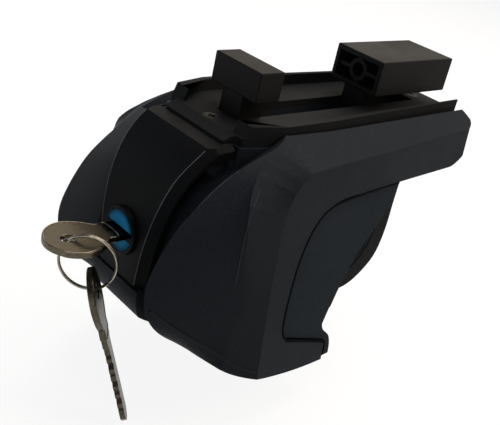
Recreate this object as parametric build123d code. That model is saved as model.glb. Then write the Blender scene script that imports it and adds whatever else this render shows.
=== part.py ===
import os
from math import cos, radians, sin, sqrt

from build123d import *

# A roof bar foot. Millimetres, z up, x inboard along the bar from the lock to the arm's tip,
# y across the foot. The origin is in the flat seat that the bar lies on.

# Clearances
part_gap = 0.3
show_gap = 0.6
run_gap = 0.05

# Bar seat
seat_outer_end = -65.5
seat_inner_end = 66.0
seat_half_width = 24.4
seat_tip_half_width = 19.4
seat_end_half_width = 16.4
seat_step_x = -60.4
seat_step_half_width = 20.6
seat_thickness = 3.0
rib_height = 4.4
rib_width = 2.6
rib_outer_end = -59.8
seat_end_drop = 1.9
slot_width = 11.4
slot_outer_end = -50.6
slot_inner_end = 53.0
seat_screw_x = -57.5
seat_screw_far_x = 59.0
seat_screw_head_radius = 3.2
seat_screw_radius = 1.6
seat_screw_length = 9.0
seat_screw_head = 1.6

# Housing: arm, leg and wings
deck_wall = 4.0
groove_width = 1.0
lip_height = 2.2
facet_slope = 0.65
arm_tip_x = 69.0
arm_under_z = -20.4
arm_tip_corner = 5.0
wing_inner_y = 21.5
chin_half_width = 14.0
ridge_y = 28.0
side_y = 34.0
edge_y = 40.0
skirt_y = 48.0
flank_half_width = 34.84
flank_taper = 0.0716
flank_flare = 0.085
toe_end_x = -12.8
toe_bottom_z = -93.2
channel_outer_x = -20.0
channel_inner_x = 56.0

# Front cover and the pocket behind it
cover_skin = 2.6
cover_depth = 4.8
cover_flange = 2.0
cover_half_width = 20.8
cover_taper = 0.124
cover_bevel = 3.0
strip_bevel = 1.6
cover_bottom_z = -58.0
cover_face_x = -88.8
fold_x = -72.5
fold_z = -3.4
strip_slope = 0.083
hinge_radius = 3.4
hinge_pin_radius = 1.25
hinge_lid = 1.0
knuckle_half_width = 14.8
ear_width = 2.8
pocket_half_width = 13.8
pocket_top_z = -8.6
pocket_sill_z = -51.4
strike_depth = 5.0

# Lock and keys
lock_z = -40.3
lock_rim_radius = 8.8
lock_rim_proud = 1.4
lock_rim_width = 1.2
lock_barrel_radius = 6.4
plug_radius = 4.9
plug_face_thickness = 1.8
lock_nut_radius = 9.0
lock_nut_thickness = 3.0
cam_thickness = 1.8
cam_reach = 13.2
cam_half_width = 4.0
cam_screw_radius = 2.0
cam_screw_head_radius = 3.4
cam_screw_head_thickness = 2.2
cam_screw_depth = 3.2
plug_web = 1.0
cam_tenon = 5.0
key_thickness = 2.0
key_blade_width = 7.6
key_blade_length = 34.0
key_shank_length = 7.2
key_shank_width = 10.4
key_bow_length = 21.5
key_bow_width = 22.0
key_fit = 0.1
key_hole_inset = 8.4
key_hole_radius = 2.2
key_hole_bevel = 0.5
ring_radius = 10.0
ring_wire_radius = 0.65
ring_play = 0.25
ring_drop = 6.5
ring_turn = -47.0
spare_tilt = 19.0
spare_twist = -12.6

# Clamp
clamp_z = -15.8
bolt_radius = 3.0
bolt_head_radius = 5.0
bolt_head_length = 6.0
bolt_end_x = 48.0
hex_socket = 5.0
hex_socket_depth = 3.2
washer_radius = 6.2
washer_thickness = 1.5
retainer_radius = 4.6
retainer_thickness = 1.2
claw_half_width = 17.5
claw_nut_x = 33.0
claw_nut_radius = 4.0
claw_nut_half_length = 12.0
claw_boss_outer_x = 26.0
claw_boss_inner_x = 44.5
claw_boss_top_z = -10.8
claw_boss_bottom_z = -22.6
claw_arm_outer_x = -4.0
claw_arm_thickness = 7.0
claw_arm_inner_y = 6.2
claw_pad_thickness = 2.5
claw_pad_half_width = 14.0
spring_radius = 4.0
spring_wire_radius = 0.55
spring_turns = 7

# Rail pad
pad_inset = 1.2
pad_gap = 0.8
pad_grooves = 5
pad_groove_depth = 1.6
pad_groove_width = 4.0
pad_groove_pitch = 12.0

# Blocks for the bar's channel
block_width = 25.0
front_block_x = -50.0
front_block_length = 11.6
front_block_bottom_z = 8.4
front_block_height = 11.2
neck_width = 11.0
stud_radius = 3.0
stud_end_z = -11.6
stud_top_z = 3.0
nut_room_half_width = 8.0
front_washer_radius = 6.5
front_washer_thickness = 1.0
front_nut_flats = 10.0
front_nut_thickness = 3.2
rear_block_x = 15.8
rear_block_length = 47.4
rear_block_bottom_z = 6.3
rear_block_height = 14.4
rear_block_wall = 2.0
rear_block_rib = 1.6
rear_tube_radius = 4.6
rear_tube_bore_radius = 2.8
rear_neck_offset = 2.0
rear_neck_length = 14.0
rear_foot_thickness = 3.2
rear_foot_half_width = 8.6
rear_foot_length = 20.0
rear_screw_radius = 2.5
rear_screw_head_radius = 4.8
rear_screw_length = 12.0
rear_screw_sink = 2.4

# Places that follow from the sizes above
deck_z = -seat_thickness
deck_under_z = deck_z - deck_wall
channel_half_width = claw_half_width + part_gap
hinge_x = seat_outer_end - show_gap - hinge_radius
hinge_z = fold_z + strip_slope * (hinge_x - fold_x) - hinge_radius
cheek_end_x = seat_step_x - groove_width - show_gap
ear_radius = hinge_radius - hinge_lid - part_gap
ear_inner_y = knuckle_half_width + part_gap
ear_outer_y = ear_inner_y + ear_width
pin_end_y = ear_outer_y - 1.0
lip_end_x = hinge_x + hinge_radius
lip_top_z = fold_z + strip_slope * (lip_end_x - fold_x)
lip_sweep = Vector(lip_end_x - hinge_x, 0, lip_top_z - hinge_z).length + part_gap
lock_front_x = cover_face_x - lock_rim_proud
lock_seat_x = cover_face_x + 0.8
lock_nut_x = cover_face_x + cover_depth
lock_barrel_end_x = lock_front_x + key_blade_length + cam_screw_depth + plug_web
cam_x = lock_barrel_end_x + part_gap
strike_back_x = cam_x - 0.5
pocket_back_x = strike_back_x - show_gap
lock_room_x = cam_x + cam_thickness + cam_screw_head_thickness + 1.0
front_neck_x = front_block_x + front_block_length / 2
rear_neck_x = rear_block_x + rear_neck_offset + rear_neck_length / 2
rear_foot_top_z = deck_under_z - 0.2
rear_screw_top_z = rear_foot_top_z - rear_foot_thickness + rear_screw_length
lip_end_z = toe_bottom_z + show_gap
far_reach = 120.0


def xz(x, z):
    """Point of the side view."""
    return Vector(x, 0, z)


def through(face, half_width):
    """Side view face run both ways from the middle plane."""
    return extrude(face, amount=half_width, dir=(0, 1, 0), both=True)


def both_sides(shape):
    """The shape and its mirror image across the middle plane."""
    return shape + mirror(shape, about=Plane.XZ)


def block(x0, x1, y0, y1, z0, z1):
    """Plain block between two corners."""
    return Pos((x0 + x1) / 2, (y0 + y1) / 2, (z0 + z1) / 2) * Box(x1 - x0, y1 - y0, z1 - z0)


def rod_x(radius, x0, x1, y, z):
    """Round rod along the bar."""
    return Pos((x0 + x1) / 2, y, z) * Rot(0, 90, 0) * Cylinder(radius, abs(x1 - x0))


def rod_y(radius, x, y0, y1, z):
    """Round rod across the foot."""
    return Pos(x, (y0 + y1) / 2, z) * Rot(90, 0, 0) * Cylinder(radius, abs(y1 - y0))


def rod_z(radius, x, y, z0, z1):
    """Upright round rod."""
    return Pos(x, y, (z0 + z1) / 2) * Cylinder(radius, abs(z1 - z0))


# Plan of the deck: narrow tongue at the outboard end, widest over the leg, tapered to the tip
def deck_plan(grow, inner_end):
    half = [
        (seat_outer_end - grow, seat_end_half_width + grow),
        (seat_step_x - grow, seat_end_half_width + 0.5 + grow),
        (seat_step_x - grow, seat_step_half_width + grow),
        (seat_outer_end + 22.0, seat_half_width + grow),
        (seat_outer_end + 44.0, seat_half_width + grow),
        (inner_end, seat_tip_half_width + grow),
    ]
    outline = half + [(x, -y) for x, y in reversed(half)]
    plan = make_face(Polyline(*outline, close=True))
    corners = [v for v in plan.vertices() if v.X < seat_step_x + 1.0]
    return fillet(corners, 1.2)


def deck_edge(x):
    """Half width of the deck along its tapered run."""
    share = (x - seat_outer_end) / (seat_inner_end - seat_outer_end)
    return seat_half_width + groove_width - share * (seat_half_width - seat_tip_half_width)


def facet_z(y, x):
    """Height of the sloping facet beside the deck."""
    return lip_height - facet_slope * (y - deck_edge(x))


# Wing sections in the side view, matched point by point: width, shoulder, front line, rim line
wing_inner = (
    wing_inner_y, -40.0,
    [(-50.0, -4.6), (-60.0, -10.4), (-69.0, -16.4), (-75.5, -23.0), (-79.4, -31.0), (-82.0, -40.0),
     (-84.2, -50.0), (-86.6, -61.0), (-82.0, -71.4)],
    [(-69.0, -78.4), (-49.0, -86.9), (-28.0, -91.0)],
)
wing_ridge = (
    ridge_y, -48.5,
    [(-57.0, -3.2), (-67.5, -7.6), (-77.5, -14.8), (-86.3, -22.6), (-91.8, -30.4), (-96.0, -39.5),
     (-97.3, -49.0), (-93.0, -61.0), (-79.0, -73.4)],
    [(-66.0, -80.8), (-48.0, -87.8), (-28.0, -91.4)],
)
wing_side = (
    side_y, -58.0,
    [(-61.6, -7.0), (-67.0, -11.8), (-73.0, -17.6), (-79.0, -24.6), (-82.4, -32.0), (-84.6, -41.0),
     (-85.2, -50.5), (-82.8, -63.0), (-73.4, -77.2)],
    [(-64.0, -83.0), (-48.0, -88.2), (-28.0, -91.6)],
)
wing_edge = (
    edge_y, -64.0,
    [(-66.5, -9.5), (-68.4, -15.0), (-69.2, -20.0), (-69.3, -26.0), (-69.2, -33.0), (-68.9, -42.0),
     (-68.5, -52.0), (-68.2, -65.0), (-67.8, -80.6)],
    [(-60.0, -85.2), (-48.0, -88.4), (-28.0, -91.5)],
)
wing_skirt = (
    skirt_y, -66.0,
    [(-65.8, -14.0), (-64.5, -18.0), (-60.5, -24.0), (-54.6, -28.7), (-50.6, -35.0), (-47.4, -43.9),
     (-46.0, -54.0), (-48.5, -67.7), (-61.0, -83.6)],
    [(-55.0, -86.0), (-44.0, -88.8), (-26.0, -91.8)],
)


def wing_section(y, shoulder_x, front, rim):
    tip_x = arm_tip_x + 6.0
    low_corner = xz(tip_x, arm_under_z - 8.0)
    tip_corner = xz(tip_x, facet_z(y, tip_x))
    front_line = [xz(shoulder_x, facet_z(y, shoulder_x))] + [xz(*p) for p in front]
    rim_line = [front_line[-1]] + [xz(*p) for p in rim] + [xz(toe_end_x + 8.0, toe_bottom_z)]
    even = [i / (len(front_line) - 1) for i in range(len(front_line))]
    face = make_face([
        Line(low_corner, tip_corner),
        Line(tip_corner, front_line[0]),
        Edge.make_spline(front_line, parameters=even),
        Spline(*rim_line),
        Line(rim_line[-1], low_corner),
    ])
    return Pos(0, y, 0) * face


def part_way(a, b):
    """Section half way between two wing sections."""
    def mix(p, q):
        return tuple((m + n) / 2 for m, n in zip(p, q))
    lines = [[mix(p, q) for p, q in zip(a[k], b[k])] for k in (2, 3)]
    return (*mix(a[:2], b[:2]), *lines)


def wing():
    sections = [wing_inner, wing_ridge, part_way(wing_ridge, wing_side), wing_side,
                part_way(wing_side, wing_edge), wing_edge, wing_skirt]
    faces = [wing_section(*section) for section in sections]
    body = loft(faces[:2], ruled=True)
    for near, far in zip(faces[1:], faces[2:]):
        body = body + loft([near, far], ruled=True)
    return body


# Shoulder: the facet beside the deck turns down the leg as a band, from its outer to its inner edge
shoulder_band = [
    ((-33.0, 25.6, 2.0), (-33.0, 37.0, -5.2)),
    ((-44.0, 27.2, 0.6), (-38.5, 37.4, -5.6)),
    ((-52.0, 28.2, -1.4), (-42.0, 38.2, -7.0)),
    ((-57.6, 30.5, -4.5), (-45.2, 38.8, -9.3)),
    ((-61.1, 33.5, -8.1), (-48.3, 39.4, -12.6)),
    ((-64.3, 36.5, -12.4), (-50.2, 39.9, -16.6)),
    ((-67.5, 38.8, -16.3), (-51.5, 40.3, -20.3)),
    ((-69.5, 40.2, -22.0), (-52.4, 40.8, -25.5)),
    ((-69.7, 40.5, -30.0), (-52.9, 41.2, -30.5)),
    ((-68.9, 40.5, -48.0), (-53.4, 42.7, -48.0)),
    ((-67.8, 40.5, -84.0), (-52.0, 45.8, -84.0)),
    ((-67.4, 40.5, -100.0), (-51.5, 47.1, -100.0)),
]


def outside_band():
    """What lies outside the band."""
    faces = []
    for outer, inner in shoulder_band:
        outer, inner = Vector(*outer), Vector(*inner)
        reach = inner - outer
        ends = [outer - reach * 0.6, inner + reach * 0.5]
        away = Vector(0, 20.0, 12.0)
        faces.append(make_face(Polyline(*ends, ends[1] + away, ends[0] + away, close=True)))
    return loft(faces, ruled=True)


def flank_plane(inset):
    """Outer face of leg and arm, narrowing to the tip and flaring to the rim."""
    normal = Vector(flank_taper, 1.0, flank_flare)
    return Plane(origin=(0, flank_half_width - inset, 0), z_dir=normal)


def between_flanks(shape, inset):
    """What lies between the two outer faces."""
    shape = split(shape, bisect_by=flank_plane(inset), keep=Keep.BOTTOM)
    shape = mirror(shape, about=Plane.XZ)
    return split(shape, bisect_by=flank_plane(inset), keep=Keep.BOTTOM)


# Jaw: the open space under the arm, with the hollow that the rail pad lies in
def jaw_face(gap):
    top_z = arm_under_z - gap
    back_start = xz(17.0, top_z)
    back_end = xz(-42.6 + gap, -66.0)
    corner = xz(-38.6 + gap, -75.4 + gap)
    ledge = xz(toe_end_x + gap, -85.0 + gap)
    low = xz(toe_end_x + gap, -far_reach)
    return make_face([
        Spline(back_start, xz(-8.0, top_z - 0.3), xz(-26.0 + gap, -22.4 - gap), xz(-34.4 + gap, -28.4 - gap),
               xz(-39.6 + gap, -40.0), xz(-42.0 + gap, -54.0), back_end),
        Spline(back_end, xz(-41.6 + gap, -71.4), corner),
        Line(corner, ledge),
        Line(ledge, low),
        Line(low, xz(far_reach, -far_reach)),
        Line(xz(far_reach, -far_reach), xz(far_reach, top_z)),
        Line(xz(far_reach, top_z), back_start),
    ])


def rail_side_face():
    """Side view of what the pad fills: everything outboard of its rail side."""
    return make_face([
        Spline(xz(16.8, arm_under_z + 1.0), xz(17.6, -25.0), xz(14.8, -31.0), xz(5.5, -41.2), xz(-2.3, -50.0),
               xz(-8.7, -60.7), xz(-15.2, -76.0)),
        Spline(xz(-15.2, -76.0), xz(-13.4, -79.6), xz(-9.2, -83.4), xz(-7.4, -87.6), xz(-6.9, lip_end_z)),
        Line(xz(-6.9, lip_end_z), xz(-far_reach, lip_end_z)),
        Line(xz(-far_reach, lip_end_z), xz(-far_reach, arm_under_z + 1.0)),
        Line(xz(-far_reach, arm_under_z + 1.0), xz(16.8, arm_under_z + 1.0)),
    ])


def nose_face():
    """Rounded arm tip in the side view."""
    start = arm_tip_x - 26.0
    top = xz(arm_tip_x - 4.0, lip_height)
    low = xz(arm_tip_x - 14.0, arm_under_z)
    return make_face([
        Line(xz(start, lip_height), top),
        Spline(top, xz(arm_tip_x - 0.7, lip_height - 3.0), xz(arm_tip_x, lip_height - 7.0),
               xz(arm_tip_x - 1.6, -12.6), xz(arm_tip_x - 6.2, -17.4), low),
        Line(low, xz(start, arm_under_z)),
        Line(xz(start, arm_under_z), xz(start, lip_height)),
    ])


# Front cover's side view: short top strip, then the long curved face
def cover_line(inset, bottom_z, start_x):
    start = (start_x, fold_z + strip_slope * (start_x - fold_x) - inset)
    fold = (fold_x + 0.6 * inset, fold_z - inset)
    face = [(cover_face_x + 5.4, -16.3), (cover_face_x + 1.2, -30.0), (cover_face_x, -44.0),
            (cover_face_x + 0.4, bottom_z)]
    points = [xz(*fold)] + [xz(x + inset, z) for x, z in face]
    return [Line(xz(*start), points[0]), Spline(*points)]


def cover_form(front, back, bottom_z, half_width, start_x):
    """Form between two depths of the cover, its sides drawn in towards the bottom."""
    outer = cover_line(front, bottom_z, start_x)
    inner = cover_line(back, bottom_z, start_x)
    face = make_face(outer + inner + [
        Line(outer[0] @ 0, inner[0] @ 0),
        Line(outer[1] @ 1, inner[1] @ 1),
    ])
    form = through(face, 2 * cover_half_width)
    side = Plane(origin=(0, half_width, 0), z_dir=(0, 1.0, -cover_taper))
    form = split(form, bisect_by=side, keep=Keep.BOTTOM)
    form = mirror(form, about=Plane.XZ)
    return split(form, bisect_by=side, keep=Keep.BOTTOM)


def hinge_ear():
    """One of the housing's two ears that carry the cover's pin."""
    back_x = seat_outer_end + 4.0
    post_x = hinge_x + ear_radius - 0.4
    shelf_z = hinge_z - hinge_radius - show_gap
    arm = make_face([Polyline(
        (hinge_x - ear_radius, 0, hinge_z), (post_x, 0, hinge_z), (post_x, 0, shelf_z), (back_x, 0, shelf_z),
        (back_x, 0, shelf_z - 8.0), (hinge_x, 0, shelf_z - 3.0), (hinge_x - ear_radius, 0, shelf_z), close=True)])
    ear = Pos(0, (ear_inner_y + ear_outer_y) / 2, 0) * through(arm, ear_width / 2)
    return ear + rod_y(ear_radius, hinge_x, ear_inner_y, ear_outer_y, hinge_z)


def hinge_room(half_width):
    """Space in the housing that the cover's hinge end turns in."""
    room = block(-far_reach, lip_end_x + part_gap, -half_width, half_width,
                 hinge_z - hinge_radius - 1.2, far_reach)
    return room + rod_y(lip_sweep, hinge_x, -half_width, half_width, hinge_z)


def front_pocket():
    """Space behind the cover for the lock, its cam and the clamp bolt's head."""
    pocket = block(-far_reach, pocket_back_x, -pocket_half_width, pocket_half_width, pocket_sill_z, pocket_top_z)
    lock_room = block(pocket_back_x - 1.0, lock_room_x, -pocket_half_width, pocket_half_width,
                      pocket_sill_z, lock_z + lock_nut_radius)
    cam_room = block(strike_back_x, lock_room_x, -pocket_half_width, pocket_half_width,
                     pocket_sill_z - strike_depth, pocket_sill_z + 1.0)
    return pocket + lock_room + cam_room + hinge_room(knuckle_half_width + part_gap)


# Housing: one moulding, wings and flanks outside, pocket, bores and claw channel inside
def housing():
    side = split(wing(), bisect_by=flank_plane(0), keep=Keep.BOTTOM) - outside_band()
    body = both_sides(side)
    core = Pos(0, -wing_inner_y, 0) * wing_section(*wing_inner)
    body = body + through(core, wing_inner_y)
    chin = make_face([
        Line(xz(-70.0, -77.8), xz(-70.0, cover_bottom_z)),
        Line(xz(-70.0, cover_bottom_z), xz(cover_face_x, cover_bottom_z)),
        Spline(xz(cover_face_x, cover_bottom_z), xz(-88.8, -63.0), xz(-86.4, -69.6)),
        Spline(xz(-86.4, -69.6), xz(-79.0, -74.2), xz(-70.0, -77.8)),
    ])
    body = body + through(chin, chin_half_width)
    body = body - block(-far_reach, far_reach, -far_reach, far_reach, lip_height, far_reach)
    body = body + extrude(Pos(0, 0, arm_under_z) * deck_plan(groove_width, arm_tip_x - 4.0), deck_z - arm_under_z)
    body = body - cover_form(-far_reach, cover_depth + part_gap, cover_bottom_z - show_gap,
                             cover_half_width + part_gap, hinge_x)
    body = body - hinge_room(cover_half_width + part_gap)
    cheek_reach = cheek_end_x - hinge_x + part_gap
    cheek_room = rod_y(cheek_reach, hinge_x, ear_outer_y + part_gap, cover_half_width + part_gap, hinge_z)
    body = body - both_sides(cheek_room)
    body = body + both_sides(hinge_ear())
    body = body - extrude(Pos(0, 0, deck_z) * deck_plan(groove_width, far_reach), far_reach)
    body = body - through(jaw_face(0.0), far_reach)
    ahead = block(arm_tip_x - 26.0, far_reach, -far_reach, far_reach, -far_reach, far_reach)
    body = body - (ahead - through(nose_face(), far_reach))
    corner_x = arm_tip_x - arm_tip_corner
    corner_y = flank_half_width - flank_taper * arm_tip_x - arm_tip_corner
    corner = block(corner_x, far_reach, corner_y, far_reach, -far_reach, far_reach)
    corner = corner - rod_z(arm_tip_corner, corner_x, corner_y, -far_reach, far_reach)
    body = body - both_sides(corner)
    body = body - block(channel_outer_x, channel_inner_x, -channel_half_width, channel_half_width,
                        arm_under_z - 1.0, deck_under_z)
    body = body - front_pocket()
    body = body - block(slot_outer_end, slot_inner_end, -slot_width / 2, slot_width / 2, deck_under_z - 1.0, 0)
    body = body - block(slot_outer_end - 1.4, channel_outer_x - 4.0, -nut_room_half_width, nut_room_half_width,
                        stud_end_z - part_gap, deck_under_z)
    body = body - rod_x(bolt_radius + part_gap, pocket_back_x - 1.0, channel_outer_x + 1.0, 0, clamp_z)
    body = body - rod_y(hinge_pin_radius, hinge_x, -pin_end_y, pin_end_y, hinge_z)
    for x in (seat_screw_x, seat_screw_far_x):
        body = body - rod_z(seat_screw_radius + run_gap, x, 0, -seat_screw_length - part_gap, 0)
    return body


# Bar seat: soft plate in the deck's recess with a rib along each long edge
def bar_seat():
    plate = deck_plan(0, seat_inner_end)
    seat = extrude(Pos(0, 0, deck_z) * plate, seat_thickness)
    rail = extrude(plate, rib_height) - extrude(deck_plan(-rib_width, far_reach), rib_height)
    ramp = make_face([Polyline((rib_outer_end, 0, 0), (rib_outer_end + 2.0, 0, rib_height + 0.1),
                               (-far_reach, 0, rib_height + 0.1), (-far_reach, 0, 0), close=True)])
    rail = rail - through(ramp, far_reach)
    seat = seat + rail
    end_x = seat_outer_end - 1.0
    bevel = make_face([Polyline((seat_outer_end + 4.5, 0, 0), (end_x, 0, 0.1), (end_x, 0, -seat_end_drop - 0.4),
                                close=True)])
    seat = seat - through(bevel, far_reach)
    seat = seat - block(slot_outer_end, slot_inner_end, -slot_width / 2, slot_width / 2, deck_z, 0)
    for x in (seat_screw_x, seat_screw_far_x):
        seat = seat - rod_z(seat_screw_radius + run_gap, x, 0, deck_z, 0)
        seat = seat - rod_z(seat_screw_head_radius + run_gap, x, 0, -seat_screw_head, 0)
    return seat


def seat_screw(x):
    screw = rod_z(seat_screw_head_radius, x, 0, -seat_screw_head, -run_gap)
    screw = screw + rod_z(seat_screw_radius, x, 0, -seat_screw_length, -seat_screw_head)
    for turn in (0, 90):
        cross = Rot(0, 0, turn) * Box(3.4, 0.8, 1.6)
        screw = screw - Pos(x, 0, 0) * cross
    return screw


# Front cover: thin shell with bevelled edges, a lip, knuckle and two cheeks on top, a boss behind the lock
def front_cover():
    cover = cover_form(0.0, cover_depth, cover_bottom_z, cover_half_width, cheek_end_x)
    strip_edges = [e for e in cover.edges() if abs((e @ 0.5).Y) > 1.0 and (e @ 0.5).Z > fold_z]
    cover = chamfer(strip_edges, strip_bevel)
    face_edges = [e for e in cover.edges() if e.length > 30.0 and abs((e @ 0.5).Y) > 1.0
                  and (e @ 0.5).X < cover_face_x + 2.0]
    cover = chamfer(face_edges, cover_bevel)
    hollow = cover_form(cover_skin, cover_depth + 1.0, cover_bottom_z + cover_flange,
                        cover_half_width - cover_flange, cheek_end_x)
    cover = cover - hollow
    slot_outer_y = ear_outer_y + part_gap
    behind = block(hinge_x, far_reach, -far_reach, far_reach, -far_reach, far_reach)
    cover = cover - (behind - rod_y(cheek_end_x - hinge_x, hinge_x, -far_reach, far_reach, hinge_z))
    room = ear_radius + part_gap
    cover = cover - block(hinge_x, far_reach, -slot_outer_y, slot_outer_y, -far_reach, hinge_z + room)
    cover = cover - block(lip_end_x, far_reach, -slot_outer_y, slot_outer_y, -far_reach, far_reach)
    slot = block(hinge_x - room, hinge_x, knuckle_half_width, slot_outer_y, -far_reach, hinge_z)
    slot = slot + rod_y(room, hinge_x, knuckle_half_width, slot_outer_y, hinge_z)
    cover = cover - both_sides(slot)
    cover = cover + rod_y(hinge_radius, hinge_x, -knuckle_half_width, knuckle_half_width, hinge_z)
    cover = cover - rod_y(hinge_pin_radius + run_gap, hinge_x, -knuckle_half_width, knuckle_half_width, hinge_z)
    cover = cover + rod_x(lock_nut_radius, cover_face_x + 1.2, lock_nut_x, 0, lock_z)
    cover = cover - rod_x(lock_rim_radius + part_gap, -far_reach, lock_seat_x, 0, lock_z)
    return cover - rod_x(lock_barrel_radius + run_gap, -far_reach, 0, 0, lock_z)


def cover_pin():
    return rod_y(hinge_pin_radius, hinge_x, -pin_end_y, pin_end_y, hinge_z)


# Lock: sleeve held by a ring nut behind the cover, plug with the key's slot, cam on the plug's end
def lock_sleeve():
    sleeve = rod_x(lock_rim_radius, lock_front_x, lock_seat_x, 0, lock_z)
    sleeve = sleeve + rod_x(lock_barrel_radius, lock_seat_x, lock_barrel_end_x, 0, lock_z)
    sleeve = sleeve - rod_x(lock_rim_radius - lock_rim_width, lock_front_x,
                            lock_front_x + plug_face_thickness, 0, lock_z)
    return sleeve - rod_x(plug_radius + run_gap, lock_front_x, lock_barrel_end_x, 0, lock_z)


def lock_plug():
    plug = rod_x(lock_rim_radius - lock_rim_width - run_gap, lock_front_x,
                 lock_front_x + plug_face_thickness - run_gap, 0, lock_z)
    plug = plug + rod_x(plug_radius, lock_front_x, cam_x, 0, lock_z)
    plug = plug + block(cam_x, cam_x + cam_thickness, -cam_tenon / 2, cam_tenon / 2,
                        lock_z - cam_tenon / 2, lock_z + cam_tenon / 2)
    way_half_width = key_blade_width / 2 + key_fit
    way_half_height = key_thickness / 2 + key_fit
    plug = plug - block(lock_front_x, lock_front_x + key_blade_length + part_gap, -way_half_width, way_half_width,
                        lock_z - way_half_height, lock_z + way_half_height)
    return plug - rod_x(cam_screw_radius, cam_x - cam_screw_depth, 0, 0, lock_z)


def lock_nut():
    nut = rod_x(lock_nut_radius, lock_nut_x, lock_nut_x + lock_nut_thickness, 0, lock_z)
    nut = nut - rod_x(lock_barrel_radius + run_gap, lock_nut_x, lock_nut_x + lock_nut_thickness, 0, lock_z)
    for turn in range(0, 360, 90):
        notch = Rot(turn, 0, 0) * Pos(0, lock_nut_radius, 0) * Box(lock_nut_thickness, 1.6, 3.0)
        nut = nut - Pos(lock_nut_x + lock_nut_thickness / 2, 0, lock_z) * notch
    return nut


def lock_cam():
    arm = SlotCenterToCenter(cam_reach - cam_half_width, 2 * cam_half_width)
    arm = Pos(-(cam_reach - cam_half_width) / 2, 0) * arm
    plate = extrude(Plane(origin=(cam_x, 0, lock_z), x_dir=(0, 1, 0), z_dir=(1, 0, 0)) * arm, cam_thickness)
    hole = cam_tenon / 2 + run_gap
    return plate - block(cam_x, cam_x + cam_thickness, -hole, hole, lock_z - hole, lock_z + hole)


def cam_screw():
    head_x = cam_x + cam_thickness
    screw = rod_x(cam_screw_head_radius, head_x, head_x + cam_screw_head_thickness, 0, lock_z)
    screw = screw + rod_x(cam_screw_radius, cam_x - cam_screw_depth, head_x, 0, lock_z)
    slot = block(head_x + cam_screw_head_thickness - 0.8, head_x + cam_screw_head_thickness, -cam_screw_head_radius,
                 cam_screw_head_radius, lock_z - 0.5, lock_z + 0.5)
    return screw - slot


# Key, drawn flat with its blade along x from the plug's face; both keys are the same
def key_shape():
    shank_end = -key_shank_length
    bow_end = shank_end - key_bow_length
    bow_mid = shank_end - key_bow_length / 2
    half = key_bow_width / 2
    bow = make_face([
        Spline((shank_end, key_shank_width / 2), (shank_end - 4.5, half - 2.0), (bow_mid, half),
               (bow_end + 2.6, half - 4.2), (bow_end, 0), (bow_end + 2.6, 4.2 - half), (bow_mid, -half),
               (shank_end - 4.5, 2.0 - half), (shank_end, -key_shank_width / 2)),
        Line((shank_end, -key_shank_width / 2), (shank_end, key_shank_width / 2)),
    ])
    flat = extrude(bow, key_thickness / 2, both=True)
    flat = flat + block(shank_end - 1.0, 0, -key_shank_width / 2, key_shank_width / 2,
                        -key_thickness / 2, key_thickness / 2)
    blade = block(0, key_blade_length, -key_blade_width / 2, key_blade_width / 2,
                  -key_thickness / 2, key_thickness / 2)
    tip = [e for e in blade.edges().filter_by(Axis.Z) if (e @ 0).X > 1.0]
    blade = chamfer(tip, 2.4)
    depths = [0.9, 1.5, 0.6, 1.2, 0.9, 1.4, 0.7]
    for i, depth in enumerate(depths):
        side = depth * sqrt(2)
        notch = Rot(0, 0, 45) * Box(side, side, 2 * key_thickness)
        blade = blade - Pos(4.5 + 3.8 * i, key_blade_width / 2, 0) * notch
    flat = flat + blade
    groove_z = key_thickness / 2
    flat = flat - block(shank_end + 2.0, key_blade_length, -0.6, 0.6, groove_z - 0.5, groove_z)
    hole = Cylinder(key_hole_radius, 2 * key_thickness)
    sink = Cone(key_hole_radius, key_hole_radius + key_hole_bevel, key_hole_bevel)
    for turn in (0, 180):
        hole = hole + Rot(turn, 0, 0) * Pos(0, 0, groove_z - key_hole_bevel / 2) * sink
    return flat - Pos(bow_end + key_hole_inset, 0, 0) * hole


def key():
    return Pos(lock_front_x, 0, lock_z) * key_shape()


def ring_axes():
    """Ring's centre, the level way across it and its turning axis."""
    level = Vector(cos(radians(ring_turn)), sin(radians(ring_turn)), 0)
    hole = Vector(lock_front_x - key_shank_length - key_bow_length + key_hole_inset, 0, lock_z)
    across = sqrt(ring_radius ** 2 - ring_drop ** 2)
    centre = hole + level * across - Vector(0, 0, ring_drop)
    return centre, level


def key_ring():
    centre, level = ring_axes()
    plane = Plane(origin=centre, x_dir=level, z_dir=level.cross(Vector(0, 0, 1)))
    section = Plane.XZ * Pos(ring_radius, 0) * RegularPolygon(ring_wire_radius, 8)
    return plane * revolve(section, Axis.Z)


def spare_key():
    centre, level = ring_axes()
    down = level * sin(radians(spare_tilt)) - Vector(0, 0, cos(radians(spare_tilt)))
    across = level.cross(Vector(0, 0, 1))
    reach = ring_radius + key_hole_radius - ring_wire_radius - ring_play
    hang = Plane(origin=centre + down * reach, x_dir=down, z_dir=down.cross(across))
    hole_x = key_hole_inset - key_shank_length - key_bow_length
    return hang * Rot(spare_twist, 0, 0) * Pos(-hole_x, 0, 0) * key_shape()


# Rail pad: soft block in the jaw's hollow, grooved up its rail side, with a lip over the toe
def rail_pad():
    pad = through(jaw_face(pad_gap), far_reach) & through(rail_side_face(), far_reach)
    pad = between_flanks(pad, pad_inset)
    behind = Pos(-pad_groove_depth, 0, 0) * through(rail_side_face(), far_reach)
    skin = pad - behind
    for i in range(pad_grooves):
        y = (i - (pad_grooves - 1) / 2) * pad_groove_pitch
        strip = block(-far_reach, far_reach, y - pad_groove_width / 2, y + pad_groove_width / 2, -74.0, -30.0)
        pad = pad - (skin & strip)
    return pad


# Claw: hook under the arm, guided in the channel and drawn outboard by the clamp bolt
claw_inner_line = [(36.4, -30.0), (37.0, -42.0), (37.0, -52.0), (35.5, -62.0), (31.4, -69.6), (25.4, -74.6)]


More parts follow.
